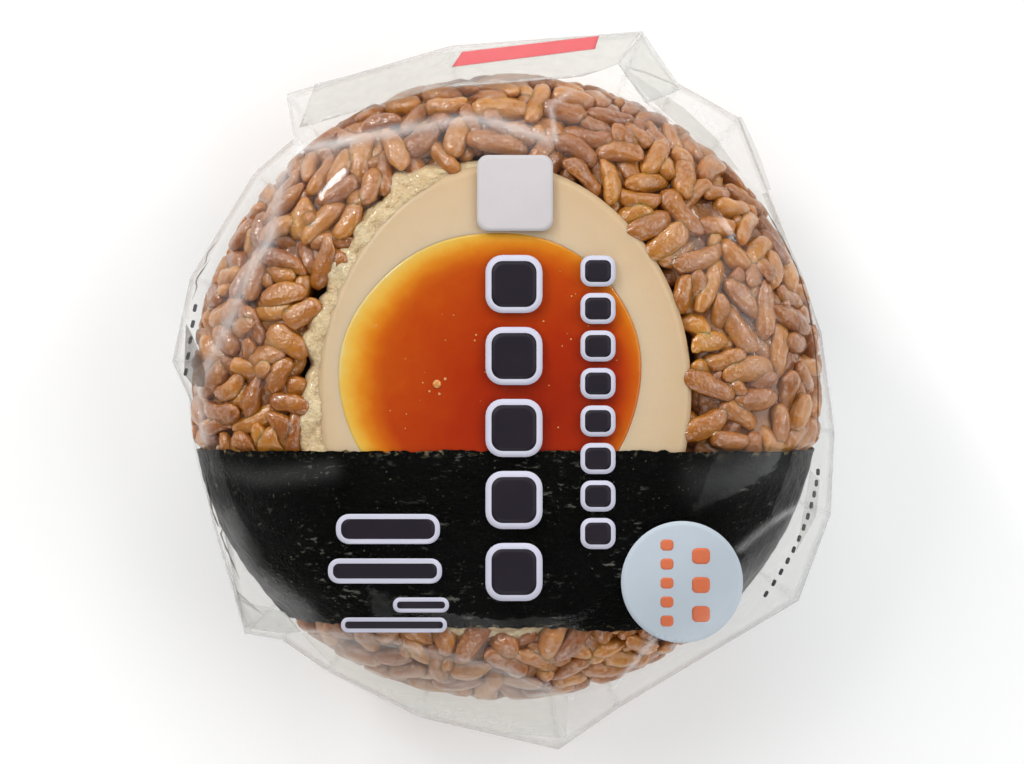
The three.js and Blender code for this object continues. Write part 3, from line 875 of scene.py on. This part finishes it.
# ------------------------------------------------------------------ seaweed
def build_nori(material):
    around, rows = 420, 72
    phi = np.arange(around) * 2 * math.pi / around

    def skin(y, g):
        return nori_skin(phi, y, g)

    probe = skin(np.full(around, -8.0), 0)
    z = probe[:, 2]
    top = nori_top(phi)
    fray = np.stack([probe[:, 0], z, np.zeros(around)], -1)
    top = top + 0.16 * vnoise(fray, 0.9, 71) + 0.13 * vnoise(fray, 2.4, 72) + 0.35 * vnoise(fray, 0.05, 73)
    low = NORI_LOW + 0.2 * vnoise(fray, 0.8, 74) + 0.12 * vnoise(fray, 2.4, 75) + 0.3 * vnoise(fray, 0.06, 76)
    low = low - 0.02 * (probe[:, 0] - CX)
    rings, edges = [], []
    for k in range(rows):
        f = k / (rows - 1)
        f = f + 0.12 * math.sin(2 * math.pi * f) / (2 * math.pi) * -1
        y = low + (top - low) * f
        edges.append(np.clip(1 - np.minimum(y - low, top - y) / 0.8, 0, 1))
        p = skin(y, NORI_G)
        c = np.array([CX, CY, WIDEST])
        d = np.linalg.norm(p - c, axis=1)[:, None]
        over_egg = np.clip(1.15 - np.hypot((p[:, 0] - EGG_C[0]) / EGG_A, (p[:, 1] - EGG_C[1]) / EGG_B), 0, 0.3) / 0.3 * (p[:, 2] > 20)
        relief = 0.14 * fbm(p, 0.12, 81, 2) * 0.6 + (0.17 * fbm(p, 0.33, 83, 3)) * (1 - 0.72 * over_egg)
        relief = relief - 0.08 + 0.035 * fbm(p, 1.3, 88, 2)
        p = c + (p - c) * (1 + np.clip(relief, -0.5, 0.22)[:, None] / d)
        rings.append(p)
    outer = np.concatenate(rings)
    c = np.array([CX, CY, WIDEST])
    d = np.linalg.norm(outer - c, axis=1)[:, None]
    inner = c + (outer - c) * (1 - 0.2 / d)
    v = np.concatenate([outer, inner])
    n = around * rows
    # rows run along +Y, and phi turns about -Y, so the outer side's order is turned round
    fo = [f for f in ring_faces(rows, around)]
    fi = [[i + n for i in f[::-1]] for f in ring_faces(rows, around)]
    i = np.arange(around)
    j = (i + 1) % around
    last = (rows - 1) * around
    rim_low = np.stack([j, i, i + n, j + n], -1).tolist()
    rim_high = np.stack([last + i, last + j, last + j + n, last + i + n], -1).tolist()
    edges = np.concatenate(edges)
    o = piece("seaweed_band", v, fo + fi + rim_low + rim_high, material, {"edge": np.concatenate([edges, edges])})
    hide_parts("nori_sheet")


# ------------------------------------------------------------------ film
def outline():
    """Stations round the film's outer edge: angle, x, y, z, and whether a corner is near."""
    corners = sorted(((math.atan2(y - CY, x - CX), x, y, z) for x, y, z in EARS))
    xs, ys, zs, near = [], [], [], []
    for (a, x, y, z), (a2, x2, y2, z2) in zip(corners, corners[1:] + corners[:1]):
        n = max(2, int(math.hypot(x2 - x, y2 - y) / 0.5))
        for k in range(n):
            f = k / n
            xs.append(x + (x2 - x) * f)
            ys.append(y + (y2 - y) * f)
            zs.append(z + (z2 - z) * f)
            near.append(min(f, 1 - f) * math.hypot(x2 - x, y2 - y))
    xs, ys, zs, near = map(np.array, (xs, ys, zs, near))
    a = np.arctan2(ys - CY, xs - CX)
    r = np.hypot(xs - CX, ys - CY)
    least = (RICE_R + FILM_G) * wavy(a) + 0.25
    r = np.maximum(r, least)
    order = np.argsort(a)
    return a[order], r[order], zs[order], near[order]


class Film:
    def __init__(self):
        self.a, self.R, self.z, self.near = outline()
        self.n = len(self.a)
        t = np.linspace(0, math.pi / 2, 900)
        self.pr = (RICE_R + FILM_G) * np.cos(t) ** (2 / SHOULDER)
        self.pz = WIDEST + (RICE_TOP - WIDEST + FILM_G) * np.sin(t) ** (2 / SHOULDER)
        k = wavy(self.a)
        slope = np.arctan2(self.pz[None] - self.z[:, None], np.maximum(self.R[:, None] - self.pr[None] * k[:, None], 1e-4))
        best = slope.argmax(1)
        self.lift_r = self.pr[best] * k
        self.lift_z = self.pz[best]
        self.k = k
        # arc length from the middle of the front outwards
        r, z = self.pr[::-1], self.pz[::-1]
        self.s = np.concatenate([[0], np.cumsum(np.hypot(np.diff(r), np.diff(z)))])
        self.sr, self.sz = r, z
        self.lift_s = self.s[len(self.s) - 1 - best]
        self.facets()

    def facets(self):
        """Flat facets that the crisp film springs into: a net of random peaks joined by flat triangles."""
        rng = np.random.default_rng(5150)
        pts = []
        tries = 0
        while len(pts) < 120 and tries < 6000:
            tries += 1
            a, r = rng.uniform(0, 2 * math.pi), 47 * math.sqrt(rng.random())
            q = np.array([CX + r * math.cos(a), CY + r * math.sin(a)])
            least = 9.5 if r < 26 else 5.0
            if all(np.hypot(*(q - p)) > least for p in pts):
                pts.append(q)
        pts += [np.array([CX + 60 * math.cos(t), CY + 60 * math.sin(t)]) for t in np.arange(12) * math.pi / 6]
        res = delaunay_2d_cdt([Vector(p) for p in pts], [], [], 0, 1e-4)
        self.tv = np.array([tuple(v) for v in res[0]])
        self.tf = np.array(res[2])
        self.th = rng.random(len(self.tv))
        self.fill_net()
        self.lines = []

    def lift(self, x, y):
        """Facet height from 0 to 1 over (x, y), read from a fine net."""
        gx = np.clip((np.asarray(x) - CX + 60) / 0.25, 0, 479.0)
        gy = np.clip((np.asarray(y) - CY + 60) / 0.25, 0, 479.0)
        i, j = gx.astype(int), gy.astype(int)
        u, v = gx - i, gy - j
        n = self.net
        return (n[i, j] * (1 - u) + n[i + 1, j] * u) * (1 - v) + (n[i, j + 1] * (1 - u) + n[i + 1, j + 1] * u) * v

    def fill_net(self):
        q = np.arange(481) * 0.25 - 60
        gx, gy = np.meshgrid(q + CX, q + CY, indexing="ij")
        self.net = np.zeros((481, 481))
        for f in self.tf:
            (ax, ay), (bx, by), (cx, cy) = self.tv[f]
            i0, i1 = np.searchsorted(q + CX, [min(ax, bx, cx), max(ax, bx, cx)])
            j0, j1 = np.searchsorted(q + CY, [min(ay, by, cy), max(ay, by, cy)])
            x, y = gx[i0:i1 + 1, j0:j1 + 1], gy[i0:i1 + 1, j0:j1 + 1]
            den = (by - cy) * (ax - cx) + (cx - bx) * (ay - cy)
            u = ((by - cy) * (x - cx) + (cx - bx) * (y - cy)) / den
            v = ((cy - ay) * (x - cx) + (ax - cx) * (y - cy)) / den
            w = 1 - u - v
            m = (u >= -1e-6) & (v >= -1e-6) & (w >= -1e-6)
            h = u * self.th[f[0]] + v * self.th[f[1]] + w * self.th[f[2]]
            self.net[i0:i1 + 1, j0:j1 + 1][m] = h[m]

    def lay_streaks(self, lines):
        """Soft white streaks and low ridges along lines, the white being painted highlights on the creases: (pixels,
        half width mm, whitening, height mm).
        """
        self.lines = [(settle(self, pts, 0)[:, :2], w, white, high) for pts, w, white, high in lines]

    def streaks(self, x, y):
        x, y = np.atleast_1d(x), np.atleast_1d(y)
        haze_and_painted_light, high = np.zeros(len(x)), np.zeros(len(x))
        q = np.stack([x, y], -1)
        for pts, w, white, h in self.lines:
            best = np.full(len(x), 1e9)
            total = 0
            for a, b in zip(pts[:-1], pts[1:]):
                d = b - a
                t = np.clip(((q - a) @ d) / (d @ d), 0, 1)
                best = np.minimum(best, np.hypot(*(q - a - t[:, None] * d).T))
            f = np.exp(-(best / w) ** 2)
            haze_and_painted_light = haze_and_painted_light + white * f
            high = high + h * np.exp(-(best / min(w, 0.6)) ** 2)
        return haze_and_painted_light, high

    def along(self, values, a):
        return np.interp(a, np.concatenate([self.a - 2 * math.pi, self.a, self.a + 2 * math.pi]), np.tile(values, 3))

    def z_at(self, x, y):
        """Height of the film's front over (x, y)."""
        x, y = np.atleast_1d(np.asarray(x, float)), np.atleast_1d(np.asarray(y, float))
        a, r = np.arctan2(y - CY, x - CX), np.hypot(x - CX, y - CY)
        lr, lz = self.along(self.lift_r, a), self.along(self.lift_z, a)
        R, oz = self.along(self.R, a), self.along(self.z, a)
        f = np.clip((r - lr) / np.maximum(R - lr, 1e-3), 0, 1)
        loose = lz + (oz - lz) * f
        z = np.where(r < lr, front_z(x, y, FILM_G), loose)
        return z + self.amount(r, f, R - lr) * self.lift(x, y) + (self.streaks(x, y)[1] if self.lines else 0)

    @staticmethod
    def amount(r, f, wide):
        """How far the facets may spring out, mm, up."""
        return 0.1 + 0.3 * np.clip((r - 24) / 12, 0, 1) * (1 - f) + 0.22 * np.clip(wide, 0, 5) * 4 * f * (1 - f) * 0.5 - 0.1 * f


def build_film(film, material):
    n = film.n
    inner, loose = 76, 22
    rows, haze_and_painted_light = [], []
    ca, sa = np.cos(film.a), np.sin(film.a)
    for j in range(1, inner + 1):
        s = film.lift_s * j / inner
        r = np.interp(s, film.s, film.sr) * film.k
        r = np.minimum(r, film.lift_r)
        z = np.interp(s, film.s, film.sz)
        x, y = CX + r * ca, CY + r * sa
        white, high = film.streaks(x, y)
        z = z + film.amount(r, np.zeros(n), film.R - film.lift_r) * film.lift(x, y) + high
        rows.append(np.stack([x, y, np.minimum(z, TOTAL_H - 0.02)], -1))
        # slight haze towards the shoulders, plus the painted highlight streaks
        haze_and_painted_light.append(0.0002 + 0.006 * np.clip((r - 28) / 12, 0, 1) ** 2 + white)
    for j in range(1, loose + 1):
        f = j / loose
        r = film.lift_r + (film.R - film.lift_r) * f
        z = film.lift_z + (film.z - film.lift_z) * f
        x, y = CX + r * ca, CY + r * sa
        wide = film.R - film.lift_r
        white, high = film.streaks(x, y)
        z = z + (film.amount(r, np.full(n, f), wide) * film.lift(x, y) + high) * (j < loose)
        rows.append(np.stack([x, y, z], -1))
        # outside the rice the film turns milky by an amount that changes from facet to facet: painted shading of the
        # loose facets; it whitens more near the corners and at the sealed edge
        ray = np.exp(-film.near / 0.4) * 0.25 * f
        out = np.clip((r / film.k - 39.3) / 0.9, 0, 1)
        face = 0.55 + 0.9 * film.lift(x + 7, y - 3)
        haze_and_painted_light.append(0.012 + out * (0.19 * face + ray) + 0.3 * max(0, (f - 0.88) / 0.12) + white)
    # the back: down to the foot, then flat under the ball
    back = 20
    grown = FILM_G
    for j in range(1, back + 1):
        f = j / back
        z = film.z * (1 - f) + 0.03 * f
        r = film.R + (27.0 * film.k - film.R) * f
        low = np.clip((WIDEST - z) / WIDEST, 0, 1)
        wall = (RICE_R + grown + 0.1) * (1 - low ** SHOULDER) ** (1 / SHOULDER) * film.k
        r = np.maximum(r, wall if f < 0.999 else 0)
        x, y = CX + r * ca, CY + r * sa
        wob = 0.5 * film.lift(x, y) * 4 * f * (1 - f)
        rows.append(np.stack([x + wob * ca, y + wob * sa, z], -1))
        haze_and_painted_light.append(np.full(n, 0.06) + np.exp(-film.near / 0.35) * 0.25 * (1 - f))
    for j in range(1, 15):
        f = j / 15
        r = 27.0 * film.k * (1 - f)
        x, y = CX + r * ca, CY + r * sa
        rows.append(np.stack([x, y, np.full(n, 0.03) + 0.12 * film.lift(x, y)], -1))
        haze_and_painted_light.append(np.full(n, 0.06))
    v = np.concatenate(rows + [[[CX, CY, float(film.z_at(CX, CY)[0])]], [[CX, CY, 0.05]]])
    v[:, 2] = np.clip(v[:, 2], 0.01, TOTAL_H - 0.005)
    h = np.concatenate(haze_and_painted_light + [[0.006], [0.06]])
    m = len(v)
    o = piece("film", v, ring_faces(len(rows), n, m - 2, m - 1), material, {"haze_and_painted_light": h})
    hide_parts("film_wrap")
    print("film triangles", sum(len(p.vertices) - 2 for p in o.data.polygons))


def settle(film, points, rise):
    """Photograph pixels laid onto the film's front, as (n, 3) points."""
    q = np.asarray(points, float)
    z = np.full(len(q), 36.0)
    for _ in range(8):
        s = (CAM[2] - z) * 36 / LENS / 1024
        x, y = CAM[0] + (q[:, 0] - 512) * s, CAM[1] - (q[:, 1] - 382) * s
        z = film.z_at(x, y)
    return np.stack([x, y, z + rise], -1)


def crease_strips(film, lines, material, name):
    """Narrow raised ridges of film along each line: (pixels, width, height, haze)."""
    verts, faces, haze_and_painted_light, base = [], [], [], 0
    for points, width, height, white in lines:
        pts = np.array(points, float)
        seg = np.hypot(*np.diff(pts, axis=0).T)
        s = np.concatenate([[0], np.cumsum(seg)])
        n = max(6, int(s[-1] / 4))
        q = np.linspace(0, s[-1], n)
        path = np.stack([np.interp(q, s, pts[:, 0]), np.interp(q, s, pts[:, 1])], -1)
        p = settle(film, path, 0.0)
        d = np.gradient(p[:, :2], axis=0)
        d /= np.hypot(*d.T)[:, None] + 1e-9
        side = np.stack([-d[:, 1], d[:, 0], np.zeros(n)], -1)
        taper = np.clip(np.minimum(np.arange(n), np.arange(n)[::-1]) / 4, 0.08, 1)[:, None]
        wob = 1 + 0.25 * np.sin(np.arange(n) * 1.7 + base)[:, None]
        w = width * taper * wob / 2
        up = np.array([0, 0, 1.0])
        ring = [p - side * w + up * 0.02, p + up * (0.02 + height * taper), p + side * w + up * 0.02, p - up * 0.02]
        v = np.stack(ring, 1).reshape(-1, 3)
        verts.append(v)
        for k in range(n - 1):
            for i in range(4):
                a, b = base + 4 * k + i, base + 4 * k + (i + 1) % 4
                faces.append([b, a, a + 4, b + 4])
        faces.append([base + i for i in range(4)])
        faces.append([base + 4 * (n - 1) + i for i in (3, 2, 1, 0)])
        haze_and_painted_light.append(np.full(4 * n, white))
        base += 4 * n
    v = np.concatenate(verts)
    return piece(name, v, faces, material, {"haze_and_painted_light": np.concatenate(haze_and_painted_light)})


def sheet_patch(film, outline_px, rise, cells=26):
    """A flat-cut patch of film or ink over the front, from its outline in pixels. Points and faces."""
    c = np.mean(outline_px, axis=0)
    pts = np.array(outline_px, float)
    edge = []
    for a, b in zip(pts, np.roll(pts, -1, 0)):
        k = max(1, int(round(np.hypot(*(b - a)) / 5)))
        edge += [a + (b - a) * i / k for i in range(k)]
    edge = np.array(edge)
    n = len(edge)
    rows = []
    reach = np.hypot(*(edge - c).T).max()
    steps = int(np.clip(reach / 5, 3, cells))
    for k in range(1, steps + 1):
        rows.append(c + (edge - c) * k / steps)
    flat = np.concatenate(rows + [[c]])
    top = settle(film, flat, rise)
    low = top - np.array([0, 0, 0.02])
    m = len(flat)
    f_top = ring_faces(steps, n, m - 1)
    if np.cross(edge[1] - edge[0], c - edge[0]) > 0:  # pixel rows run down, so the turn is mirrored
        f_top = [f[::-1] for f in f_top]
    f_low = [[i + m for i in f[::-1]] for f in f_top]
    i = np.arange(n)
    j = (i + 1) % n
    last = (steps - 1) * n
    wall = np.stack([last + i, last + j, last + j + m, last + i + m], -1)
    if np.cross(edge[1] - edge[0], c - edge[0]) > 0:
        wall = wall[:, ::-1]
    return np.concatenate([top, low]), f_top + f_low + wall.tolist(), np.concatenate(
        [np.concatenate([np.full(n, k / steps) for k in range(1, steps + 1)] + [[0.0]])] * 2)


def patches(film, name, outlines, rise, material, haze_and_painted_light=None):
    verts, faces, hz, base = [], [], [], 0
    for k, pts in enumerate(outlines):
        v, f, e = sheet_patch(film, pts, rise)
        verts.append(v)
        faces += [[i + base for i in g] for g in f]
        hz.append((haze_and_painted_light[k] if haze_and_painted_light else 0.1) * (0.75 + 0.6 * e ** 6))
        base += len(v)
    return piece(name, np.concatenate(verts), faces, material, {"haze_and_painted_light": np.concatenate(hz)})


def rounded(cx, cy, w, h, r, n=6, turn=0.0):
    """Rounded rectangle in pixels."""
    out = []
    for sx, sy, a0 in ((1, 1, 0), (-1, 1, 90), (-1, -1, 180), (1, -1, 270)):
        for k in range(n + 1):
            a = math.radians(a0 + 90 * k / n)
            out.append((sx * (w / 2 - r) + r * math.cos(a), sy * (h / 2 - r) + r * math.sin(a)))
    c, s = math.cos(turn), math.sin(turn)
    return [(cx + x * c - y * s, cy + x * s + y * c) for x, y in out]


def disc(cx, cy, r, n=64):
    return [(cx + r * math.cos(2 * math.pi * k / n), cy + r * math.sin(2 * math.pi * k / n)) for k in range(n)]


# ------------------------------------------------------------------ build
stage_set()
build_rice(rice_material(), core_material())
build_egg(white_material(), yolk_material(), bubble_material())
build_mayo(mayo_material())
build_nori(nori_material())
film = Film()
# painted highlights: white streaks laid along the film's creases and taut lines, over low ridges
film.lay_streaks([
    ([(299, 149), (334, 144), (372, 135), (410, 128), (470, 118), (501, 124), (547, 139)], 0.75, 0.34, 0.18),
    ([(305, 165), (380, 148), (470, 133), (540, 146)], 2.4, 0.06, 0.0),
    ([(556, 141), (551, 106), (570, 92)], 0.35, 0.3, 0.12),
    ([(299, 149), (289, 158), (276, 205), (268, 240), (247, 274), (225, 330), (200, 383)], 0.75, 0.3, 0.2),
    ([(285, 175), (262, 240), (236, 300), (214, 360)], 2.0, 0.09, 0.0),
    ([(299, 149), (293, 130), (288, 114), (285, 95)], 0.5, 0.3, 0.12),
    ([(330, 96), (420, 74), (520, 60), (590, 54)], 2.0, 0.1, 0.0),
    ([(620, 80), (660, 120), (700, 150)], 2.2, 0.08, 0.0),
    ([(700, 110), (760, 190), (792, 262)], 1.2, 0.12, 0.1),
    ([(690, 240), (742, 300), (770, 372)], 2.6, 0.06, 0.0),
    ([(740, 549), (766, 526), (786, 513), (806, 503)], 0.45, 0.3, 0.14),
    ([(700, 480), (770, 470), (815, 468)], 2.2, 0.03, 0.0),
    ([(720, 600), (775, 560), (812, 510)], 2.2, 0.13, 0.0),
    ([(215, 470), (260, 478), (330, 470)], 1.2, 0.03, 0.0),
    ([(225, 520), (250, 575), (300, 612)], 1.6, 0.12, 0.0),
    ([(654, 639), (636, 661), (615, 687)], 0.35, 0.4, 0.12),
    ([(301, 630), (358, 635), (396, 644), (443, 655), (509, 671), (572, 697)], 0.4, 0.32, 0.12),
    ([(320, 672), (400, 700), (490, 722), (560, 734)], 1.8, 0.16, 0.0),
    ([(184, 313), (190, 350), (197, 386), (204, 437)], 0.7, 0.3, 0.15),
])
clear = film_material("clear_film")
build_film(film, clear)

flap = film_material("doubled_film", 0.7, (0.925, 0.925, 0.908), 0.08)
patches(film, "film_flaps", [
    [(315, 84), (440, 53), (560, 39), (640, 33), (618, 64), (602, 70), (578, 76), (440, 87), (299, 128)],
    [(618, 64), (642, 34), (652, 52), (680, 90), (647, 103)],
    [(246, 628), (236, 590), (240, 600), (285, 612), (301, 632), (282, 633)],
], 0.16, flap, [0.18, 0.24, 0.26])
patches(film, "film_flap_low", [
    [(301, 633), (358, 638), (396, 646), (443, 657), (509, 673), (568, 697), (566, 738), (500, 733), (420, 713), (345, 679)],
], 0.16, film_material("doubled_film_low", 0.7, (0.985, 0.985, 0.972), 0.08), [0.1])
def tinted(name, colour, gloss=0.05):
    m, nt, p, out = new_material(name)
    t = node(nt, "ShaderNodeBsdfTransparent")
    nt.links.new(mix(nt, noise(nt, 120, 3), colour, tuple(min(1, c * 1.18) for c in colour)), t.inputs["Color"])
    p.inputs["Base Color"].default_value = (0.7, 0.7, 0.7, 1)
    p.inputs["Roughness"].default_value = 0.15
    ms = node(nt, "ShaderNodeMixShader")
    ms.inputs[0].default_value = gloss
    nt.links.new(t.outputs[0], ms.inputs[1])
    nt.links.new(p.outputs[0], ms.inputs[2])
    nt.links.new(ms.outputs[0], out.inputs["Surface"])
    return m


patches(film, "film_fold_shades", [
    [(186, 324), (192, 334), (199, 352), (205, 372), (204, 387), (193, 386), (184, 374)],
], 0.1, tinted("fold_shade", (0.68, 0.67, 0.66)))
# painted shade: soft grey bands along folds of the loose film, partly the film lying doubled there
patches(film, "film_grey_fold_shades", [
    [(737, 118), (746, 140), (756, 166), (766, 190), (771, 190), (762, 162), (751, 136), (741, 116)],
    [(762, 194), (773, 220), (783, 246), (786, 244), (777, 216), (767, 192)],
    [(618, 64), (648, 84), (684, 108), (716, 138), (740, 172), (722, 162), (690, 136), (655, 104)],
    [(222, 540), (236, 592), (258, 628), (246, 628), (236, 600)],
    [(810, 470), (820, 480), (816, 516), (796, 552), (804, 508)],
], 0.08, tinted("grey_fold_shade", (0.86, 0.86, 0.845)))
crease = film_material("film_crease", 0.6, (0.97, 0.965, 0.96), 0.12, (0.9, 0.89, 0.89))
crease_strips(film, [
    ([(440, 87), (510, 82), (578, 76), (602, 70)], 0.3, 0.08, 0.4),
    ([(618, 64), (642, 34)], 0.3, 0.08, 0.3),
    ([(618, 64), (650, 74), (680, 87)], 0.3, 0.08, 0.3),
    ([(618, 64), (632, 82), (647, 103), (676, 125)], 0.3, 0.08, 0.3),
    ([(206, 489), (213, 520), (235, 594), (244, 629)], 0.35, 0.1, 0.25),
], crease, "film_creases")

# painted shadow: thin dark lines where the film lies against the rice at the sides, and small dark crinkles at the left
crease_strips(film, [
    ([(765, 208), (782, 238), (797, 268), (808, 304), (815, 345), (818, 385), (818, 430)], 0.17, 0.03, 0.1),
    ([(205, 470), (212, 510), (226, 548), (240, 580)], 0.2, 0.03, 0.1),
    ([(192, 300), (197, 288), (196, 280), (204, 268), (211, 258)], 0.22, 0.03, 0.1),
    ([(197, 272), (206, 262), (207, 254), (220, 238)], 0.14, 0.03, 0.1),
], tinted("painted_shadow_line", (0.52, 0.49, 0.47)), "film_painted_shadow_lines")

ink_white = ink_material("ink_white", srgb(196, 190, 192), srgb(204, 199, 201))
ink_dark = ink_material("ink_dark", srgb(26, 20, 30), srgb(36, 28, 40))
ink_pale = ink_material("ink_pale", srgb(206, 208, 226), srgb(218, 216, 232), 0.93)
ink_badge = ink_material("ink_badge", srgb(196, 208, 218), srgb(206, 216, 226), 0.9)
ink_orange = ink_material("ink_orange", srgb(216, 108, 70), srgb(224, 124, 84))
ink_red = ink_material("ink_red", srgb(226, 84, 92), srgb(232, 104, 108), 0.8)

patches(film, "print_label", [rounded(515, 193, 76, 76, 11)], 0.05, ink_white)
fields = [(514, 284 + 72 * k, 45, 46, 11, 6) for k in range(5)]
fields += [(598, 271 + 37.5 * k, 26, 22, 6, 4.5) for k in range(8)]
fields += [(388, 529, 94, 20, 8, 5), (385, 571, 104, 15, 6, 5), (421, 605, 48, 7, 3, 4), (394, 625, 98, 7, 3, 4)]
patches(film, "print_outline", [rounded(x, y, w + 2 * d, h + 2 * d, r + d) for x, y, w, h, r, d in fields], 0.04, ink_pale)
patches(film, "print_blocks", [rounded(x, y, w, h, r) for x, y, w, h, r, d in fields], 0.06, ink_dark)
patches(film, "print_badge", [disc(682, 582, 61)], 0.06, ink_badge)
patches(film, "print_badge_marks",
        [rounded(701, 556 + 29 * k, 18, 16, 5) for k in range(3)] + [rounded(667, 545 + 19 * k, 13, 11, 4) for k in range(5)],
        0.09, ink_orange)
edge_marks = [rounded(195 - 2.3 * k, 308 + 16 * k, 3.6, 8, 1.6, 4, 0.25) for k in range(5)]
for k in range(12):
    f = k / 11
    edge_marks.append(rounded(818 - 14 * f - 38 * f * f, 472 + 122 * f, 3.6, 7, 1.6, 4, 0.5 * f))
patches(film, "print_edge_marks", edge_marks, 0.05, ink_dark)
patches(film, "print_strip", [[(462, 52), (599, 36), (595, 49), (452, 67)]], 0.22, ink_red)
